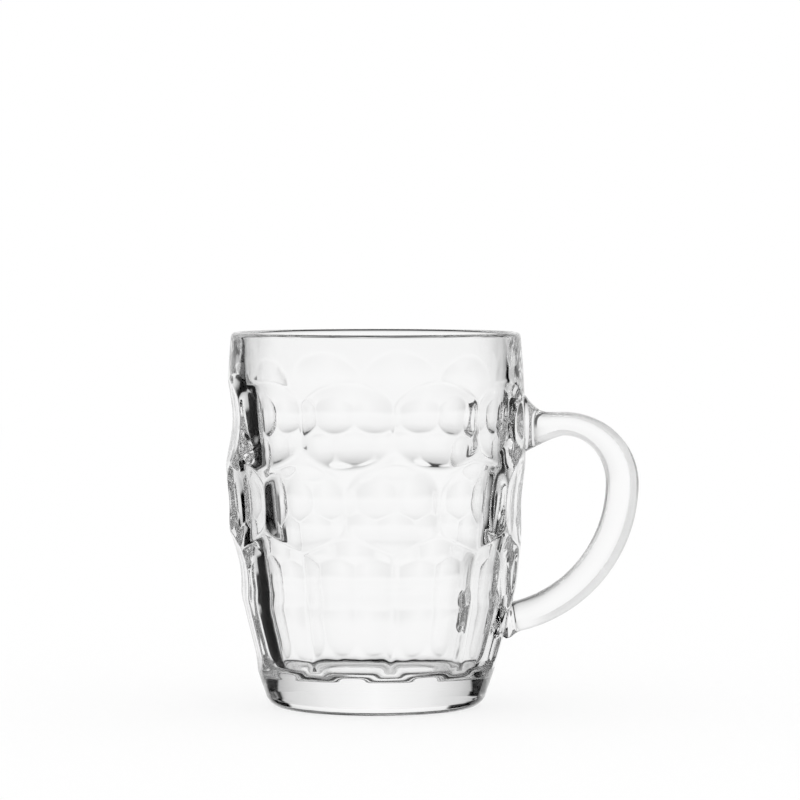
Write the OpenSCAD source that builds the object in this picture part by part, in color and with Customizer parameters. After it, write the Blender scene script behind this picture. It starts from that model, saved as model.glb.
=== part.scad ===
// Dimpled glass beer mug: a pressed body with rows of thumbprint dimples over tall flutes,
// and a solid glass handle that seats on the body's wall at two roots.
// The origin is on the mug's axis in the plane it stands on, Z is up, the handle is on +X.

/* [Body] */
// Height from the table to the top of the lip
mug_h = 125.5; // [115:0.5:140]
// Largest radius of the wall, at the belly
belly_r = 50.2; // [46:0.1:54]
// Height of the belly
belly_z = 88.5; // [80:0.5:96]
// Radius of the long arc that the upper wall follows
belly_arc_r = 374; // [300:1:700]
// Height at which the upper wall turns into the leaning lower wall
waist_z = 39.5; // [38:0.5:44]
// Radius at which the leaning lower wall would meet the table
foot_r = 36.9; // [35:0.1:38]
// Radius at which the steeper heel would meet the table
sole_r = 35.4; // [33:0.1:36]
// Lean of the heel, in degrees from upright
heel_lean = 20.8; // [16:0.1:26]
// Radius of the rounded edge between the heel and the foot
heel_r = 6; // [3:0.1:8]
// Radius of the hollow under the base
punt_r = 24; // [16:0.5:26]
// Height of the hollow under the base
punt_h = 1.4; // [0.5:0.1:3]

/* [Inside] */
// Thickness of the wall just under the lip
lip_t = 3.4; // [2.6:0.1:4]
// Radius of the two rounded edges of the lip
lip_edge_r = 1.6; // [0.8:0.05:1.7]
// Amount by which the rounded lip stands out from the wall on each side
lip_bead = 0.08; // [0.05:0.01:0.3]
// Thickness of the base above the table
floor_z = 12; // [9:0.5:16]
// Thickness of the lower wall between the flutes, measured level
foot_wall_t = 6.8; // [6:0.1:9]
// Radius of the corner between the inside wall and the floor
floor_corner_r = 4; // [2:0.5:8]
// Lean of the upper inside wall, in degrees from upright
bore_lean = 4.2; // [3.6:0.1:5]

/* [Dimples] */
// Number of dimples round each row
dimples = 10; // [10:2:12]
// Height of the middle of the upper row
upper_row_z = 96.4; // [94:0.1:98]
// Depth of the upper row at its middle
upper_row_depth = 3.2; // [2.8:0.05:3.5]
// Upright radius of the upper row
upper_row_arc_r = 34.8; // [26:0.1:36]
// Height of the middle of the lower row
lower_row_z = 66.8; // [65:0.1:69]
// Depth of the lower row at its middle
lower_row_depth = 2.65; // [2.4:0.05:3.2]
// Upright radius of the lower row
lower_row_arc_r = 44; // [30:0.5:48]

/* [Flutes] */
// Angle of the narrow plain rib between two flutes, in degrees round the axis
rib_turn = 1.2; // [0.6:0.1:3]
// Height at which the arched top of a flute is deepest
flute_top_z = 41; // [40:0.5:43]
// Depth of the arched top of a flute there
flute_top_depth = 3.08; // [2.9:0.02:3.2]
// Upright radius of the arched top of a flute
flute_top_r = 35; // [30:0.5:40]
// Height at which the straight length of a flute ends at the bottom
flute_foot_z = 18.5; // [17:0.1:22]
// Upright radius of the rounded foot of a flute
flute_foot_r = 15; // [8:0.5:18]

/* [Handle] */
// Height of the middle of the upper root
handle_top_z = 94.4; // [90:0.1:98]
// Height of the middle of the lower root at the wall
handle_foot_z = 29; // [26:0.1:34]
// Distance from the belly to the middle of the grip
handle_reach = 33.5; // [31:0.1:42]
// Radius of the upper bend along its middle
bend_r = 20.1; // [16:0.1:22]
// Width of the handle, seen from its outer side
handle_w = 15.5; // [12:0.1:20]
// Thickness of the neck beside the upper root
neck_t = 8; // [6:0.1:10]
// Thickness of the grip
grip_t = 10.6; // [8:0.1:12]
// Thickness of the tail beside the lower root
tail_t = 10; // [8:0.1:11]
// Length of the flare over the upper root
neck_flare_l = 9; // [6:0.5:12]
// Height of the flare over the upper root
neck_flare_h = 6; // [3:0.5:8]
// Length of the flare under the upper root
under_flare_l = 13; // [8:0.5:13]
// Height of the flare under the upper root
under_flare_h = 5.4; // [3:0.1:7]
// Length of the flare at the lower root
tail_flare_l = 4; // [2:0.5:6]
// Height of the flare at the lower root
tail_flare_h = 1.6; // [0.5:0.1:3]
// Squareness of the handle's section, 2 for an oval
section_power = 2.7; // [2:0.1:4]

/* [Hidden] */
$fn = 200;
glass_colour = [0.86, 0.91, 0.91, 0.55];
handle_colour = [0.80, 0.88, 0.90, 0.60];

// Height above the lip to which the inside is carried when it is cut out
cut_over = 2;
// Radius of the wall on the long arc at height z
function arc_wall_r(z) = belly_r - belly_arc_r + sqrt(pow(belly_arc_r, 2) - pow(z - belly_z, 2));
foot_lean = atan((arc_wall_r(waist_z) - foot_r) / waist_z);
// Radius of the plain wall at height z
function wall_r(z) = min(sole_r + z * tan(heel_lean), foot_r + z * tan(foot_lean), arc_wall_r(z));

lip_z = mug_h - lip_edge_r;
// Share of the lip's edge radius at which its level top lies
lip_top_share = 0.985;
bore_top_r = arc_wall_r(lip_z) - lip_t;
bore_foot_r = foot_r + floor_z * tan(foot_lean) - foot_wall_t;
punt_arc_r = (pow(punt_r, 2) + pow(punt_h, 2)) / (2 * punt_h);

pitch = 360 / dimples;
// Length of a level cutter, longer than any dimple is wide
scoop_w = belly_r;
// Share of a flute's depth by which its round foot bites past its straight length
bite_share = 0.025;
flat_share = cos((pitch - rib_turn) / 2);
flute_r = wall_r(flute_foot_z) * flat_share;
flute_lean = atan(tan(foot_lean) * flat_share);
flute_bite = (wall_r(flute_foot_z) - flute_r) * bite_share;

grip_x = belly_r + handle_reach;
bend_x = grip_x - bend_r;
bend_z = handle_top_z - bend_r;
tail_x = wall_r(handle_foot_z);
tail_rise = bend_z - handle_foot_z;
tail_r = (pow(grip_x - tail_x, 2) + pow(tail_rise, 2)) / (2 * (grip_x - tail_x));
tail_turn = atan2(tail_rise, tail_x - grip_x + tail_r);
// Depth to which the roots run on inside the wall before they are cut to it
root_sink = lip_t;
sink_turn = root_sink / tail_r * 180 / PI;
neck_x = wall_r(handle_top_z) - root_sink;
// Curvature of the flares and the share of the upper one that the sides follow
neck_flare_power = 2.2;
under_flare_power = 1.25;
side_flare_share = 0.5;
neck_rings = 12;
bend_rings = 10;
tail_rings = 18;
section_sides = 24;

// Half-plane figure bounded by a leaning wall that is rounded into a level floor
module leaning_cup(r, z, lean, corner_r, top_z) {
    corner = [r + corner_r * tan(lean) - corner_r / cos(lean), z + corner_r];
    touch = corner + corner_r * [cos(lean), -sin(lean)];
    polygon([
        [0, z],
        [corner[0], z],
        corner,
        touch,
        [r + (top_z - z) * tan(lean), top_z],
        [0, top_z]
    ]);
    translate(corner)
        circle(r = corner_r);
}

// Half-plane figure inside a straight lean that meets the table at radius r
module lean_limit(r, lean, low_z, top_z) {
    polygon([
        [0, low_z],
        [r + low_z * tan(lean), low_z],
        [r + top_z * tan(lean), top_z],
        [0, top_z]
    ]);
}

// Outline of the plain outside, from the axis to the wall
module outside_section() {
    intersection() {
        leaning_cup(sole_r, 0, heel_lean, heel_r, lip_z);
        lean_limit(foot_r, foot_lean, -cut_over, mug_h);
        translate([belly_r - belly_arc_r, belly_z])
            circle(r = belly_arc_r, $fn = 256);
    }
}

// Outline of the inside: the lower lean rounded into the floor, limited by the upper lean
module inside_section() {
    top_z = mug_h + cut_over;
    intersection() {
        leaning_cup(bore_foot_r, floor_z, foot_lean, floor_corner_r, top_z);
        lean_limit(bore_top_r - lip_z * tan(bore_lean), bore_lean, 0, top_z + cut_over);
    }
}

// Outline of the glass between the outside and the inside, with a rounded lip
module glass_section() {
    difference() {
        outside_section();
        inside_section();
        translate([0, punt_h - punt_arc_r])
            intersection() {
                circle(r = punt_arc_r, $fn = 256);
                square([punt_arc_r, punt_arc_r]);
            }
    }
    lip_section();
}

// Outline of the lip: a level top between two rounded edges
module lip_section() {
    inner_r = bore_top_r - lip_bead + lip_edge_r;
    outer_r = bore_top_r + lip_t + lip_bead - lip_edge_r;
    for (r = [inner_r, outer_r])
        translate([r, lip_z])
            circle(r = lip_edge_r);
    translate([inner_r, lip_z - lip_edge_r])
        square([outer_r - inner_r, lip_edge_r * (1 + lip_top_share)]);
}

// Carries a cutter's upright outline level across the wall, with its nearest point at radius r
module scoop(r) {
    translate([r, 0, 0])
        rotate([90, 0, 0])
            linear_extrude(height = scoop_w, center = true)
                children();
}

// One dimple
module dimple(z, depth, arc_r) {
    scoop(wall_r(z) - depth)
        translate([arc_r, z])
            circle(r = arc_r);
}

// Cutter outline of a flute: a straight length along the lower wall, a round foot and an arched top
module flute_outline() {
    outward = [cos(flute_lean), -sin(flute_lean)];
    top = [(flute_top_z - flute_foot_z) * tan(flute_lean), flute_top_z];
    foot = [0, flute_foot_z];
    top_centre = [wall_r(flute_top_z) - flute_top_depth - flute_r + flute_top_r, flute_top_z];
    foot_centre = foot + (flute_foot_r - flute_bite) * outward;
    polygon([foot_centre, foot, top, top_centre]);
    translate(top_centre)
        circle(r = flute_top_r);
    translate(foot_centre)
        circle(r = flute_foot_r);
}

// One tall flute
module flute() {
    scoop(flute_r)
        flute_outline();
}

// Repeats a cutter round the axis from the given step on
module round_row(first, last, turn) {
    for (i = [first:last])
        rotate([0, 0, turn + i * pitch])
            children();
}

// Glass body with its dimples and flutes; the two fields under the handle's roots stay plain
module mug_body() {
    color(glass_colour)
        difference() {
            rotate_extrude()
                glass_section();
            round_row(1, dimples - 1, 0)
                dimple(upper_row_z, upper_row_depth, upper_row_arc_r);
            round_row(0, dimples - 1, pitch / 2)
                dimple(lower_row_z, lower_row_depth, lower_row_arc_r);
            round_row(1, dimples - 1, 0)
                flute();
        }
}

// Growth of half a section at distance d from the wall, for a flare of length l and height h
function flare(d, l, h, power) = d >= l ? 0 : h * pow(1 - max(d, 0) / l, power);
// Eased step from 0 to 1
function ease(t) = t * t * (3 - 2 * t);
function signed_power(v, p) = sign(v) * pow(abs(v), p);

// Places along the handle: centre x, centre z, heading of the outer side,
// thickness outside and inside of the middle, half width
neck_places = [
    for (i = [0:neck_rings - 1])
        let (
            x = neck_x + (bend_x - neck_x) * i / neck_rings,
            d = x - wall_r(handle_top_z),
            over = flare(d, neck_flare_l, neck_flare_h, neck_flare_power),
            under = flare(d, under_flare_l, under_flare_h, under_flare_power)
        )
            [x, handle_top_z, 90, neck_t / 2 + over, neck_t / 2 + under, handle_w / 2 + over * side_flare_share]
];
bend_places = [
    for (i = [0:bend_rings - 1])
        let (
            a = 90 - 90 * i / bend_rings,
            half_t = (neck_t + (grip_t - neck_t) * ease(i / bend_rings)) / 2
        )
            [bend_x + bend_r * cos(a), bend_z + bend_r * sin(a), a, half_t, half_t, handle_w / 2]
];
tail_places = [
    for (i = [0:tail_rings])
        let (
            a = -(tail_turn + sink_turn) * i / tail_rings,
            grow = flare((tail_turn + a) * PI / 180 * tail_r, tail_flare_l, tail_flare_h, neck_flare_power),
            half_t = (grip_t + (tail_t - grip_t) * ease(i / tail_rings)) / 2 + grow
        )
            [
                grip_x - tail_r + tail_r * cos(a),
                bend_z + tail_r * sin(a),
                a,
                half_t,
                half_t,
                handle_w / 2 + grow
            ]
];
handle_places = concat(neck_places, bend_places, tail_places);

// One ring of points of the handle's rounded section
function section_ring(place) = [
    for (j = [0:section_sides - 1])
        let (
            a = 360 * j / section_sides,
            half_t = cos(a) > 0 ? place[3] : place[4],
            out = half_t * signed_power(cos(a), 2 / section_power),
            side = place[5] * signed_power(sin(a), 2 / section_power)
        )
            [place[0] + out * cos(place[2]), side, place[1] + out * sin(place[2])]
];

// Closed solid through a row of rings with equal numbers of points
module loft(rings) {
    n = len(rings[0]);
    last = len(rings) - 1;
    points = [for (ring = rings) for (p = ring) p];
    near_end = [for (j = [0:n - 1]) n - 1 - j];
    far_end = [for (j = [0:n - 1]) last * n + j];
    sides = [
        for (i = [0:last - 1])
            for (j = [0:n - 1])
                let (k = (j + 1) % n)
                    for (half = [0, 1])
                        half == 0
                            ? [i * n + j, i * n + k, (i + 1) * n + k]
                            : [i * n + j, (i + 1) * n + k, (i + 1) * n + j]
    ];
    polyhedron(points, concat([near_end, far_end], sides));
}

// Solid handle, cut at both roots to the wall it seats on
module handle() {
    color(handle_colour)
        difference() {
            loft([for (place = handle_places) section_ring(place)]);
            rotate_extrude()
                outside_section();
        }
}

mug_body();
handle();
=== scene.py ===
"""Dimpled glass beer mug: clear pressed glass body with a fused glass handle, on a white floor."""

import math

import bpy
import numpy as np
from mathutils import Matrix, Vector


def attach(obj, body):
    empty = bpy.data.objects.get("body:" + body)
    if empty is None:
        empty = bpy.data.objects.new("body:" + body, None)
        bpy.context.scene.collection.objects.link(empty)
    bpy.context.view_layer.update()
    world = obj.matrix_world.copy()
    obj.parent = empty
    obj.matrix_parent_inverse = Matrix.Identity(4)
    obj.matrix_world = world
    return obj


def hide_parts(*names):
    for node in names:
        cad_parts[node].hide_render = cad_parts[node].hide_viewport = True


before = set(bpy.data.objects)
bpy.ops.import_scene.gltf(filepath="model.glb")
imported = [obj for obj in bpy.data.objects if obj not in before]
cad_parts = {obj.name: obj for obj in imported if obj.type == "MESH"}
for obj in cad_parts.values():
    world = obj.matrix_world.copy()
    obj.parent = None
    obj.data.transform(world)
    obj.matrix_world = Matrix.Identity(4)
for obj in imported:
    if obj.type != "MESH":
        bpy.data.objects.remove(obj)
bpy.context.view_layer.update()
scene = bpy.context.scene

# Sizes in millimetres, the same as the solids' own
MM = 0.001
MUG_H = 125.5
BELLY_R, BELLY_Z, BELLY_ARC_R = 50.2, 88.5, 374.0
WAIST_Z, FOOT_R = 39.5, 36.9
HEEL_R, HEEL_LEAN, SOLE_R = 6.0, math.radians(20.8), 35.4
PUNT_R, PUNT_H = 24.0, 1.4
LIP_T, LIP_EDGE_R, FLOOR_Z, FOOT_WALL_T, FLOOR_CORNER_R = 3.4, 1.6, 12.0, 6.8, 4.0
BORE_LEAN = math.radians(4.2)
DIMPLES = 10
UPPER = (96.4, 3.2, 34.8)
LOWER = (66.8, 2.65, 44.0)
RIB_TURN = math.radians(1.2)
FLUTE_TOP_Z, FLUTE_TOP_DEPTH, FLUTE_TOP_R = 41.0, 3.08, 35.0
FLUTE_FOOT_Z, FLUTE_FOOT_R = 18.5, 15.0
HANDLE_TOP_Z, HANDLE_FOOT_Z, HANDLE_REACH, BEND_R = 94.4, 29.0, 33.5, 20.1
HANDLE_W, NECK_T, GRIP_T, TAIL_T = 15.5, 8.0, 10.6, 10.0
NECK_FLARE, UNDER_FLARE, TAIL_FLARE = (9.0, 6.0, 2.2), (13.0, 5.4, 1.25), (4.0, 1.6, 2.2)
SECTION_POWER = 2.7

# Softness of the fire-polished edges
RIDGE_SOFT = 0.45
WAIST_SOFT = 0.6
FLUTE_SOFT = 0.8
HEEL_SOFT = 1.5
BORE_SOFT = 1.2

# Glass: how it bends light, how strongly its surface shines, and how see-through the handle is made away from
# the wall, which is painted light that pales the handle as if bright light washed out its dark edges
BODY_IOR, HANDLE_IOR, FUSED_IOR = 1.52, 1.5, 1.0
SHINE = 0.1
HANDLE_PAINTED_LIGHT_FROM, HANDLE_PAINTED_LIGHT_TO, HANDLE_PAINTED_LIGHT_ALPHA = 51.0, 62.0, 0.6

# Ripples of the pressed surface, its faint clouds of tint, and the scuffs of the ring it stands on
RIPPLE_SIZE, RIPPLE_HEIGHT = 7.0, 0.06
CLOUD_SIZE, TINT = 24.0, (0.98, 0.981, 0.981, 1)
SCUFF_SIZE, SCUFF_FROM, SCUFF_TO = 1.5, 0.05, 0.5
SCUFF_NOISE, SCUFF_ROUGHNESS = (0.35, 0.65), (0.15, 0.55)

# Points of the meshes: columns round the body, rows of its parts, and sides and sections of the handle
COLUMNS = 600
PUNT_ROWS, HEEL_ROWS, WALL_ROWS, LIP_ROWS, BORE_ROWS, CORNER_ROWS, FLOOR_ROWS = 14, 24, 260, 14, 110, 18, 20
HANDLE_SIDES = 72
NECK_SECTIONS, BEND_SECTIONS, TAIL_SECTIONS = 48, 46, 90

# Depth to which the handle's ends sink into the wall, and the radius outside which body faces can be fused
SINK = 1.2
FUSED_R = 40.5

PITCH = 2 * math.pi / DIMPLES
FAR = 1000.0


def arc_wall(z):
    return BELLY_R - BELLY_ARC_R + np.sqrt(BELLY_ARC_R**2 - (z - BELLY_Z) ** 2)


FOOT_LEAN = math.atan((float(arc_wall(WAIST_Z)) - FOOT_R) / WAIST_Z)


def soft_min(a, b, soft):
    """Lower of two surfaces, rounded over where they are closer than soft."""
    near = np.maximum(soft - np.abs(a - b), 0) / soft
    return np.minimum(a, b) - near * near * soft / 4


def plain_wall(z):
    wall = soft_min(FOOT_R + z * math.tan(FOOT_LEAN), arc_wall(z), WAIST_SOFT)
    return soft_min(wall, SOLE_R + z * math.tan(HEEL_LEAN), HEEL_SOFT)


def arc_face(z, mid, r):
    """Distance by which a level bar of radius r falls back from its nearest point."""
    t = np.clip(np.abs(z - mid) / r, 0, 1)
    return r - r * np.sqrt(1 - t * t)


def flute_face(z):
    """Distance of a flute's floor from the axis along the middle of the flute."""
    flat_share = math.cos((PITCH - RIB_TURN) / 2)
    start = (FOOT_R + FLUTE_FOOT_Z * math.tan(FOOT_LEAN)) * flat_share
    lean = math.atan(math.tan(FOOT_LEAN) * flat_share)
    result = start + (z - FLUTE_FOOT_Z) * math.tan(lean)
    cx = start + FLUTE_FOOT_R * math.cos(lean)
    cz = FLUTE_FOOT_Z - FLUTE_FOOT_R * math.sin(lean)
    reach = (z - cz) / FLUTE_FOOT_R
    foot = cx - FLUTE_FOOT_R * np.sqrt(np.clip(1 - reach * reach, 0, 1))
    result = np.where(z < FLUTE_FOOT_Z, foot, result)
    result = np.where(reach < -1, FAR, result)
    top = float(arc_wall(FLUTE_TOP_Z)) - FLUTE_TOP_DEPTH + arc_face(z, FLUTE_TOP_Z, FLUTE_TOP_R)
    top = np.where(np.abs(z - FLUTE_TOP_Z) < FLUTE_TOP_R, top, FAR)
    return soft_min(result, top, FLUTE_SOFT)


def turned(face, theta, first, skip_handle):
    """Nearest of a row's level faces, as a radius at each angle, with rounded ridges."""
    step = np.mod(theta - first + PITCH / 2, PITCH) - PITCH / 2
    near = face / np.cos(step)
    side = np.where(step > 0, step - PITCH, step + PITCH)
    other = face / np.cos(side)
    if skip_handle:
        index = np.round((theta - first) / PITCH).astype(int) % DIMPLES
        neighbour = (index + np.where(step > 0, 1, -1)) % DIMPLES
        near = np.where(index == 0, FAR, near)
        other = np.where(neighbour == 0, FAR, other)
    return soft_min(near, other, RIDGE_SOFT)


def outer_radius(theta, z):
    """Radius of the dimpled outside."""
    wall = plain_wall(z)
    upper = arc_wall(UPPER[0]) - UPPER[1] + arc_face(z, UPPER[0], UPPER[2])
    lower = arc_wall(LOWER[0]) - LOWER[1] + arc_face(z, LOWER[0], LOWER[2])
    upper = np.where(np.abs(z - UPPER[0]) < UPPER[2], upper, FAR)
    lower = np.where(np.abs(z - LOWER[0]) < LOWER[2], lower, FAR)
    r = soft_min(wall, turned(upper, theta, 0.0, True), RIDGE_SOFT)
    r = soft_min(r, turned(lower, theta, PITCH / 2, False), RIDGE_SOFT)
    return soft_min(r, turned(flute_face(z), theta, 0.0, True), RIDGE_SOFT)


LIP_Z = MUG_H - LIP_EDGE_R
BORE_TOP_R = float(arc_wall(LIP_Z)) - LIP_T
BORE_FOOT_R = FOOT_R + FLOOR_Z * math.tan(FOOT_LEAN) - FOOT_WALL_T


def bore_radius(z):
    lower = BORE_FOOT_R + (z - FLOOR_Z) * math.tan(FOOT_LEAN)
    upper = BORE_TOP_R - (LIP_Z - z) * math.tan(BORE_LEAN)
    return soft_min(lower, upper, BORE_SOFT)


def corner(r, z, size, lean):
    """Centre of an arc of the given size in the corner of a leaning wall and a level floor."""
    return r + size * math.tan(lean) - size / math.cos(lean), z + size


def arc_rows(centre, size, start, end, count):
    turns = np.linspace(start, end, count)
    return [(centre[0] + size * math.cos(a), centre[1] + size * math.sin(a)) for a in turns]


def body_rows():
    """Outline of the glass from the middle of the underside to the middle of the floor inside.

    Rows of the dimpled wall have no radius of their own.
    """
    arc = (PUNT_R**2 + PUNT_H**2) / (2 * PUNT_H)
    rows = [(r, PUNT_H - arc + math.sqrt(arc**2 - r * r)) for r in np.linspace(0, PUNT_R - 0.3, PUNT_ROWS)]
    heel = corner(SOLE_R, 0.0, HEEL_R, HEEL_LEAN)
    rows += [(PUNT_R + 0.1, 0.0), (PUNT_R + 0.6, 0.0), (0.5 * (PUNT_R + heel[0]), 0.0)]
    rows += arc_rows(heel, HEEL_R, -math.pi / 2, -HEEL_LEAN - 0.02, HEEL_ROWS)
    rows += [(None, z) for z in np.linspace(rows[-1][1] + 0.3, LIP_Z, WALL_ROWS)]
    outer_edge = (BORE_TOP_R + LIP_T - LIP_EDGE_R, LIP_Z)
    inner_edge = (BORE_TOP_R + LIP_EDGE_R, LIP_Z)
    rows += arc_rows(outer_edge, LIP_EDGE_R, 0.1, math.pi / 2, LIP_ROWS)
    rows += arc_rows(inner_edge, LIP_EDGE_R, math.pi / 2, math.pi - 0.1, LIP_ROWS)
    floor = corner(BORE_FOOT_R, FLOOR_Z, FLOOR_CORNER_R, FOOT_LEAN)
    top = floor[1] - FLOOR_CORNER_R * math.sin(FOOT_LEAN)
    rows += [(float(bore_radius(np.array(z))), z) for z in np.linspace(LIP_Z, top + 0.4, BORE_ROWS)]
    rows += arc_rows(floor, FLOOR_CORNER_R, -FOOT_LEAN, -math.pi / 2, CORNER_ROWS)
    rows += [(r, FLOOR_Z) for r in np.linspace(floor[0] - 0.6, 0, FLOOR_ROWS)]
    return rows


def mesh_object(name, points, quads, tris, materials, slots):
    """Object from points in millimetres, with smooth faces and a slot for each face."""
    mesh = bpy.data.meshes.new(name)
    faces = [tuple(q) for q in quads] + [tuple(t) for t in tris]
    mesh.from_pydata((points * MM).tolist(), [], faces)
    for material in materials:
        mesh.materials.append(material)
    mesh.polygons.foreach_set("material_index", np.asarray(slots, dtype=np.int32))
    mesh.polygons.foreach_set("use_smooth", np.ones(len(faces), dtype=bool))
    mesh.update()
    mesh.validate()
    obj = bpy.data.objects.new(name, mesh)
    scene.collection.objects.link(obj)
    return obj


def ring_faces(rings, columns):
    """Quads between neighbouring rings of equal numbers of points."""
    i = np.arange(rings - 1)[:, None]
    j = np.arange(columns)[None, :]
    k = (j + 1) % columns
    a, b = i * columns + j, i * columns + k
    return np.stack([a, b, b + columns, a + columns], axis=-1).reshape(-1, 4)


# Handle path
GRIP_X = BELLY_R + HANDLE_REACH
BEND_X, BEND_Z = GRIP_X - BEND_R, HANDLE_TOP_Z - BEND_R
TAIL_X = FOOT_R + HANDLE_FOOT_Z * math.tan(FOOT_LEAN)
TAIL_RISE = BEND_Z - HANDLE_FOOT_Z
TAIL_R = ((GRIP_X - TAIL_X) ** 2 + TAIL_RISE**2) / (2 * (GRIP_X - TAIL_X))
TAIL_TURN = math.atan2(TAIL_RISE, TAIL_X - GRIP_X + TAIL_R)
NECK_WALL = float(arc_wall(HANDLE_TOP_Z))


def flare(d, shape):
    """Growth of half a section at distance d from the wall."""
    length, height, power = shape
    return height * max(0.0, 1 - max(d, 0.0) / length) ** power


def ease(t):
    return t * t * (3 - 2 * t)


def handle_places():
    """Centre x and z, heading of the outer side, half thickness outside and inside, and half width."""
    places = []
    for x in np.linspace(NECK_WALL - SINK, BEND_X, NECK_SECTIONS)[:-1]:
        d = x - NECK_WALL
        over, under = flare(d, NECK_FLARE), flare(d, UNDER_FLARE)
        thick_over, thick_under = NECK_T / 2 + over, NECK_T / 2 + under
        places.append((x, HANDLE_TOP_Z, math.pi / 2, thick_over, thick_under, HANDLE_W / 2 + over / 2))
    for t in np.linspace(0, 1, BEND_SECTIONS)[:-1]:
        a = math.pi / 2 * (1 - t)
        thick = (NECK_T + (GRIP_T - NECK_T) * ease(t)) / 2
        x, z = BEND_X + BEND_R * math.cos(a), BEND_Z + BEND_R * math.sin(a)
        places.append((x, z, a, thick, thick, HANDLE_W / 2))
    for t in np.linspace(0, 1, TAIL_SECTIONS):
        a = -(TAIL_TURN + SINK / TAIL_R) * t
        d = (TAIL_TURN + a) * TAIL_R
        grow = flare(d, TAIL_FLARE)
        thick = (GRIP_T + (TAIL_T - GRIP_T) * ease(t)) / 2 + grow
        x, z = GRIP_X - TAIL_R + TAIL_R * math.cos(a), BEND_Z + TAIL_R * math.sin(a)
        places.append((x, z, a, thick, thick, HANDLE_W / 2 + grow))
    return places


def in_handle(x, y, z):
    """True for points within the handle's roots."""
    p = SECTION_POWER
    over, under = flare(0.0, NECK_FLARE), flare(0.0, UNDER_FLARE)
    half = np.where(z > HANDLE_TOP_Z, NECK_T / 2 + over, NECK_T / 2 + under)
    neck = (np.abs(z - HANDLE_TOP_Z) / half) ** p + (np.abs(y) / (HANDLE_W / 2 + over / 2)) ** p < 1
    grow = flare(0.0, TAIL_FLARE)
    off = np.hypot(x - GRIP_X + TAIL_R, z - BEND_Z) - TAIL_R
    tail = (np.abs(off) / (TAIL_T / 2 + grow)) ** p + (np.abs(y) / (HANDLE_W / 2 + grow)) ** p < 1
    return (x > 0) & (neck | (tail & (z < WAIST_Z)))


def glass(name, ior):
    """Clear glass, with its surface reflection toned down."""
    material = bpy.data.materials.new(name)
    material.use_nodes = True
    shader = material.node_tree.nodes["Principled BSDF"]
    shader.inputs["Base Color"].default_value = (1, 1, 1, 1)
    shader.inputs["Roughness"].default_value = 0.0
    shader.inputs["IOR"].default_value = ior
    shader.inputs["Specular Tint"].default_value = (SHINE, SHINE, SHINE, 1)
    shader.inputs["Transmission Weight"].default_value = 1.0
    return material


body_glass = glass("body_glass", BODY_IOR)
handle_glass = glass("handle_glass", HANDLE_IOR)
fused_glass = glass("fused_joint", FUSED_IOR)


def math_node(tree, operation, first, second=None):
    """Output of a sum on one socket, or on a socket and a number or second socket."""
    node = tree.nodes.new("ShaderNodeMath")
    node.operation = operation
    tree.links.new(first, node.inputs[0])
    if isinstance(second, (int, float)):
        node.inputs[1].default_value = second
    elif second is not None:
        tree.links.new(second, node.inputs[1])
    return node.outputs[0]


def noise(tree, coords, size, detail):
    """Cloud of the given size in millimetres, fixed to the object."""
    node = tree.nodes.new("ShaderNodeTexNoise")
    node.inputs["Scale"].default_value = 1 / (size * MM)
    node.inputs["Detail"].default_value = detail
    tree.links.new(coords.outputs["Object"], node.inputs["Vector"])
    return node.outputs["Fac"]


def spread(tree, value, low, high, start, end):
    """Maps a value from low and high to start and end."""
    node = tree.nodes.new("ShaderNodeMapRange")
    for name, number in (("From Min", low), ("From Max", high), ("To Min", start), ("To Max", end)):
        node.inputs[name].default_value = number
    tree.links.new(value, node.inputs["Value"])
    return node.outputs["Result"]


def pressed_surface(material):
    """Slow ripples of pressed glass, a faint change of tint, and a scuffed ring where the mug stands."""
    tree = material.node_tree
    shader = tree.nodes["Principled BSDF"]
    coords = tree.nodes.new("ShaderNodeTexCoord")
    ripple = tree.nodes.new("ShaderNodeBump")
    ripple.inputs["Distance"].default_value = RIPPLE_HEIGHT * MM
    tree.links.new(noise(tree, coords, RIPPLE_SIZE, 1.0), ripple.inputs["Height"])
    tree.links.new(ripple.outputs["Normal"], shader.inputs["Normal"])

    tint = tree.nodes.new("ShaderNodeMix")
    tint.data_type = "RGBA"
    tint.inputs["A"].default_value = (1, 1, 1, 1)
    tint.inputs["B"].default_value = TINT
    tree.links.new(noise(tree, coords, CLOUD_SIZE, 2.0), tint.inputs["Factor"])
    tree.links.new(tint.outputs["Result"], shader.inputs["Base Color"])

    place = tree.nodes.new("ShaderNodeSeparateXYZ")
    tree.links.new(coords.outputs["Object"], place.inputs["Vector"])
    low = spread(tree, place.outputs["Z"], SCUFF_FROM * MM, SCUFF_TO * MM, 1.0, 0.0)
    marks = spread(tree, noise(tree, coords, SCUFF_SIZE, 6.0), *SCUFF_NOISE, *SCUFF_ROUGHNESS)
    tree.links.new(math_node(tree, "MULTIPLY", low, marks), shader.inputs["Roughness"])


def paint_light_by_alpha(material, near, far, least):
    """Painted light: lets more light straight through with distance from the mug's axis, so the handle reads
    paler, as if bright light washed out its dark edges.
    """
    tree = material.node_tree
    coords = tree.nodes.new("ShaderNodeTexCoord")
    level = tree.nodes.new("ShaderNodeVectorMath")
    level.operation = "MULTIPLY"
    level.inputs[1].default_value = (1, 1, 0)
    tree.links.new(coords.outputs["Object"], level.inputs[0])
    length = tree.nodes.new("ShaderNodeVectorMath")
    length.operation = "LENGTH"
    tree.links.new(level.outputs["Vector"], length.inputs[0])
    painted_light_fade = tree.nodes.new("ShaderNodeMapRange")
    painted_light_fade.interpolation_type = "SMOOTHSTEP"
    painted_light_fade.inputs["From Min"].default_value = near * MM
    painted_light_fade.inputs["From Max"].default_value = far * MM
    painted_light_fade.inputs["To Min"].default_value = 1.0
    painted_light_fade.inputs["To Max"].default_value = least
    tree.links.new(length.outputs["Value"], painted_light_fade.inputs["Value"])
    tree.links.new(painted_light_fade.outputs["Result"], tree.nodes["Principled BSDF"].inputs["Alpha"])


pressed_surface(body_glass)
pressed_surface(handle_glass)
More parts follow.
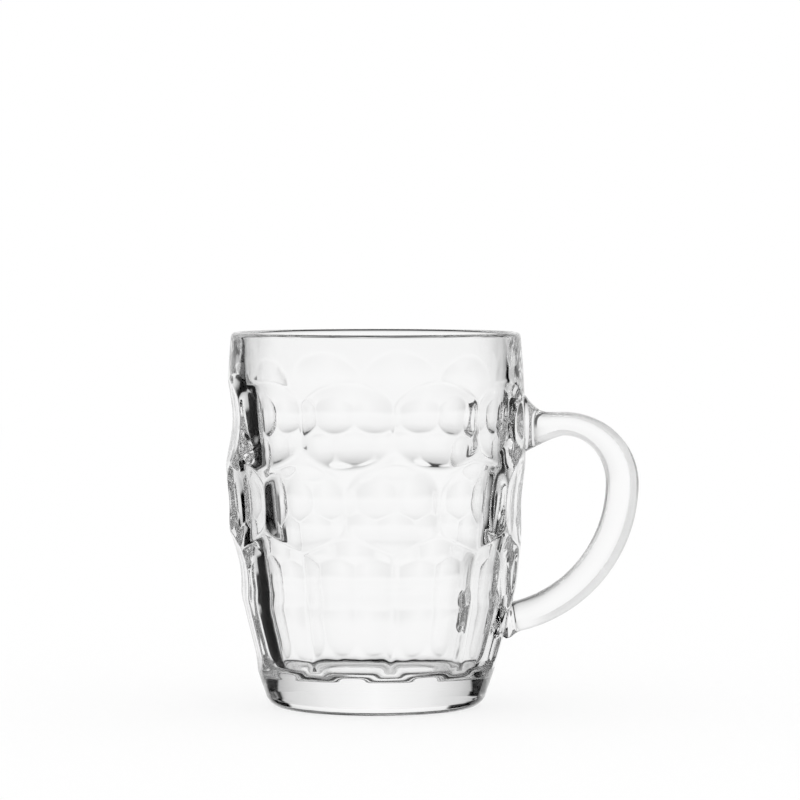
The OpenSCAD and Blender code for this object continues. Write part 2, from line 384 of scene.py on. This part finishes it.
# Painted light: the handle turns partly see-through away from the wall, standing in for bright light that
# pales it
paint_light_by_alpha(handle_glass, HANDLE_PAINTED_LIGHT_FROM, HANDLE_PAINTED_LIGHT_TO, HANDLE_PAINTED_LIGHT_ALPHA)


def make_body():
    rows = body_rows()
    theta = np.arange(COLUMNS) * 2 * math.pi / COLUMNS
    rings = []
    for r, z in rows[1:-1]:
        if r is None:
            radius = outer_radius(theta, np.full(COLUMNS, z))
        else:
            radius = np.full(COLUMNS, r)
        ring = [radius * np.cos(theta), radius * np.sin(theta), np.full(COLUMNS, z)]
        rings.append(np.stack(ring, axis=-1))
    points = np.concatenate(rings)
    quads = ring_faces(len(rings), COLUMNS)
    centre = points[quads].mean(axis=1)
    outside = np.hypot(centre[:, 0], centre[:, 1]) > FUSED_R
    fused = in_handle(centre[:, 0], centre[:, 1], centre[:, 2]) & outside
    low, high = len(points), len(points) + 1
    points = np.concatenate([points, [[0, 0, rows[0][1]], [0, 0, rows[-1][1]]]])
    j = np.arange(COLUMNS)
    k = (j + 1) % COLUMNS
    end = (len(rings) - 1) * COLUMNS
    tris = np.concatenate([
        np.stack([np.full(COLUMNS, low), k, j], axis=-1),
        np.stack([np.full(COLUMNS, high), end + j, end + k], axis=-1),
    ])
    slots = np.concatenate([fused.astype(int), np.zeros(len(tris), dtype=int)])
    return mesh_object("mug_body_glass", points, quads, tris, [body_glass, fused_glass], slots)


def make_handle():
    sides = HANDLE_SIDES
    a = np.arange(sides) * 2 * math.pi / sides
    c, s = np.cos(a), np.sin(a)
    p = 2 / SECTION_POWER
    out = np.sign(c) * np.abs(c) ** p
    side = np.sign(s) * np.abs(s) ** p
    rings = []
    for x, z, heading, outer, inner, width in handle_places():
        thick = np.where(out > 0, outer, inner) * out
        ring = [x + thick * math.cos(heading), width * side, z + thick * math.sin(heading)]
        rings.append(np.stack(ring, axis=-1))
    points = np.concatenate(rings)
    quads = ring_faces(len(rings), sides)[:, ::-1]
    first, last = len(points), len(points) + 1
    points = np.concatenate([points, [rings[0].mean(axis=0)], [rings[-1].mean(axis=0)]])
    j = np.arange(sides)
    k = (j + 1) % sides
    end = (len(rings) - 1) * sides
    tris = np.concatenate([
        np.stack([np.full(sides, first), j, k], axis=-1),
        np.stack([np.full(sides, last), end + k, end + j], axis=-1),
    ])
    centre = points[quads].mean(axis=1)
    r = np.hypot(centre[:, 0], centre[:, 1])
    fused = r < outer_radius(np.arctan2(centre[:, 1], centre[:, 0]), centre[:, 2])
    slots = np.concatenate([fused.astype(int), np.ones(len(tris), dtype=int)])
    return mesh_object("handle_glass_loop", points, quads, tris, [handle_glass, fused_glass], slots)


body = make_body()
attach(body, "root")
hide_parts("mug_body")

handle = make_handle()
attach(handle, "root")
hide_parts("handle")


# Floor: a white sheet under the mug, seen by the camera but not through the glass
FLOOR_LEFT, FLOOR_RIGHT, FLOOR_NEAR, FLOOR_FAR = -0.30, 0.30, -1.2, 4.0
FLOOR_DROP = 0.0001
FLOOR_GLOW = 0.72
AZIMUTH = math.radians(-6.6)


def value_ramp(nodes, stops):
    """Colour ramp over the given places from 0 to 1 and grey values."""
    ramp = nodes.new("ShaderNodeValToRGB")
    elements = ramp.color_ramp.elements
    while len(elements) > 1:
        elements.remove(elements[-1])
    for n, (place, value) in enumerate(stops):
        element = elements[0] if n == 0 else elements.new(place)
        element.position = place
        element.color = (value, value, value, 1)
    return ramp


def make_floor():
    mesh = bpy.data.meshes.new("floor")
    corners = [
        (FLOOR_LEFT, FLOOR_NEAR),
        (FLOOR_RIGHT, FLOOR_NEAR),
        (FLOOR_RIGHT, FLOOR_FAR),
        (FLOOR_LEFT, FLOOR_FAR),
    ]
    mesh.from_pydata([(x, y, 0) for x, y in corners], [], [(0, 1, 2, 3)])
    obj = bpy.data.objects.new("floor", mesh)
    scene.collection.objects.link(obj)
    material = bpy.data.materials.new("floor_white")
    material.use_nodes = True
    shader = material.node_tree.nodes["Principled BSDF"]
    shader.inputs["Roughness"].default_value = 1.0
    shader.inputs["Specular IOR Level"].default_value = 0.0
    shader.inputs["Emission Color"].default_value = (1, 1, 1, 1)
    shader.inputs["Emission Strength"].default_value = FLOOR_GLOW
    shader.inputs["Base Color"].default_value = (1 - FLOOR_GLOW, 1 - FLOOR_GLOW, 1 - FLOOR_GLOW, 1)
    tree = material.node_tree
    path = tree.nodes.new("ShaderNodeLightPath")
    clear = tree.nodes.new("ShaderNodeBsdfTransparent")
    mix = tree.nodes.new("ShaderNodeMixShader")
    through = math_node(tree, "MAXIMUM", path.outputs["Is Glossy Ray"], path.outputs["Is Transmission Ray"])
    tree.links.new(through, mix.inputs["Fac"])
    tree.links.new(shader.outputs["BSDF"], mix.inputs[1])
    tree.links.new(clear.outputs["BSDF"], mix.inputs[2])
    tree.links.new(mix.outputs["Shader"], tree.nodes["Material Output"].inputs["Surface"])
    mesh.materials.append(material)
    obj.location.z = -FLOOR_DROP
    obj.rotation_euler.z = AZIMUTH


make_floor()

# World: what the glass shows is a white studio with a dark screen behind the mug on each side and a dark
# table edge below the backdrop. Each stop is a place and a brightness. Places are in degrees, to the right of
# straight back or above level.
LOW_STOPS = [
    (-180, 0.0), (-30, 0.0), (-28, 0.9), (-14, 0.97), (0, 0.98),
    (14, 0.97), (37, 0.88), (39, 0.0), (180, 0.0),
]
HIGH_STOPS = [
    (-180, 0.0), (-46, 0.0), (-44, 0.5), (-35, 0.65), (-20, 0.86), (0, 0.96),
    (20, 0.86), (35, 0.65), (46, 0.5), (48, 0.0), (180, 0.0),
]
STEP_STOPS = [(-90, 0.0), (-3, 0.0), (1, 1.0), (90, 1.0)]
RISE_STOPS = [
    (-90, 0.01), (-32, 0.01), (-29.6, 0.08), (-27.6, 0.6), (-20, 0.83), (-13, 0.95),
    (-4, 0.985), (8, 1.0), (38, 1.0), (42, 0.01), (90, 0.01),
]
ABOVE_STOPS = [(-90, 0.0), (13, 0.0), (17, 0.97), (90, 0.97)]
ABOVE_SIDE_STOPS = [
    (-180, 0.0), (-62, 0.0), (-58, 0.7), (-35, 0.75), (0, 1.0),
    (35, 0.75), (50, 0.65), (54, 0.0), (180, 0.0),
]
ROUND_STOPS = [(-90, 1.0), (-5, 1.0), (10, 0.5), (40, 0.5), (44, 0.1), (90, 0.1)]
ROUND_SIDE_STOPS = [(-180, 0.85), (-82, 0.85), (-68, 0.0), (62, 0.0), (76, 0.85), (180, 0.85)]
TABLE_STOPS = [(-90, 1.0), (-38, 1.0), (-30, 0.6), (-24, 0.0), (90, 0.0)]
TABLE_SIDE_STOPS = [(-180, 0.85), (-60, 0.85), (-48, 0.0), (44, 0.0), (56, 0.85), (180, 0.85)]
UNDER_STOPS = [(-90, 0.9), (-72, 0.9), (-65, 0.3), (-58, 0.3), (-52, 0.0), (90, 0.0)]


def make_world():
    world = bpy.data.worlds.new("studio")
    scene.world = world
    world.use_nodes = True
    tree = world.node_tree
    nodes, links = tree.nodes, tree.links
    background = nodes["Background"]
    coords = nodes.new("ShaderNodeTexCoord")
    turn = nodes.new("ShaderNodeVectorRotate")
    turn.rotation_type = "Z_AXIS"
    turn.inputs["Angle"].default_value = -AZIMUTH
    links.new(coords.outputs["Generated"], turn.inputs["Vector"])
    split = nodes.new("ShaderNodeSeparateXYZ")
    links.new(turn.outputs["Vector"], split.inputs["Vector"])
    azimuth = math_node(tree, "ARCTAN2", split.outputs["X"], split.outputs["Y"])
    azimuth = math_node(tree, "MULTIPLY_ADD", azimuth, 1 / (2 * math.pi))
    azimuth.node.inputs[2].default_value = 0.5
    rise = math_node(tree, "ARCSINE", split.outputs["Z"])
    rise = math_node(tree, "MULTIPLY_ADD", rise, 1 / math.pi)
    rise.node.inputs[2].default_value = 0.5

    def around(degrees):
        return degrees / 360 + 0.5

    def up(degrees):
        return degrees / 180 + 0.5

    def by_azimuth(stops):
        ramp = value_ramp(nodes, [(around(degrees), value) for degrees, value in stops])
        links.new(azimuth, ramp.inputs["Fac"])
        return ramp.outputs["Color"]

    def by_rise(stops):
        ramp = value_ramp(nodes, [(up(degrees), value) for degrees, value in stops])
        links.new(rise, ramp.inputs["Fac"])
        return ramp.outputs["Color"]

    def blend(place, below, above):
        mix = nodes.new("ShaderNodeMix")
        links.new(place, mix.inputs["Factor"])
        links.new(below, mix.inputs["A"])
        links.new(above, mix.inputs["B"])
        return mix.outputs["Result"]

    sides = blend(by_rise(STEP_STOPS), by_azimuth(LOW_STOPS), by_azimuth(HIGH_STOPS))
    above = math_node(tree, "MULTIPLY", by_rise(ABOVE_STOPS), by_azimuth(ABOVE_SIDE_STOPS))
    backdrop = math_node(tree, "MAXIMUM", sides, above)
    backdrop = math_node(tree, "MULTIPLY", backdrop, by_rise(RISE_STOPS))
    surround = math_node(tree, "MULTIPLY", by_rise(ROUND_STOPS), by_azimuth(ROUND_SIDE_STOPS))
    backdrop = math_node(tree, "MAXIMUM", backdrop, surround)
    table = math_node(tree, "MULTIPLY", by_rise(TABLE_STOPS), by_azimuth(TABLE_SIDE_STOPS))
    table = math_node(tree, "MAXIMUM", table, by_rise(UNDER_STOPS))
    backdrop = math_node(tree, "MAXIMUM", backdrop, table)
    path = nodes.new("ShaderNodeLightPath")
    through = math_node(tree, "MAXIMUM", path.outputs["Is Glossy Ray"], path.outputs["Is Transmission Ray"])
    from_floor = math_node(tree, "GREATER_THAN", path.outputs["Diffuse Depth"], 0.5)
    through = math_node(tree, "SUBTRACT", through, from_floor)
    through = math_node(tree, "MAXIMUM", through, 0.0)
    plain = math_node(tree, "SUBTRACT", through, 1.0)
    plain = math_node(tree, "ABSOLUTE", plain)
    glow = math_node(tree, "MULTIPLY", backdrop, through)
    glow = math_node(tree, "ADD", glow, plain)
    links.new(glow, background.inputs["Color"])
    background.inputs["Strength"].default_value = 1.0


make_world()

# Camera
DISTANCE, HEIGHT, MM_PER_PIXEL = 1450.0, 159.0, 0.335
CENTRE_X, CENTRE_Z = 8.1, 102.7
PICTURE_WIDTH, SENSOR_WIDTH = 800, 36
toward = Vector((math.sin(AZIMUTH), -math.cos(AZIMUTH), 0))
right = Vector((math.cos(AZIMUTH), math.sin(AZIMUTH), 0))
camera_data = bpy.data.cameras.new("camera")
camera = bpy.data.objects.new("camera", camera_data)
scene.collection.objects.link(camera)
location = toward * DISTANCE + Vector((0, 0, HEIGHT))
target = right * CENTRE_X + Vector((0, 0, CENTRE_Z))
camera.location = location * MM
direction = (target - location).normalized()
camera.rotation_euler = direction.to_track_quat("-Z", "Y").to_euler()
camera_data.sensor_width = SENSOR_WIDTH
camera_data.lens = SENSOR_WIDTH * (target - location).length / (PICTURE_WIDTH * MM_PER_PIXEL)
camera_data.clip_start = 0.01
camera_data.clip_end = 50
scene.camera = camera

scene.view_settings.view_transform = "Standard"
scene.cycles.max_bounces = 32
scene.cycles.transmission_bounces = 32
scene.cycles.glossy_bounces = 16

bpy.context.view_layer.update()
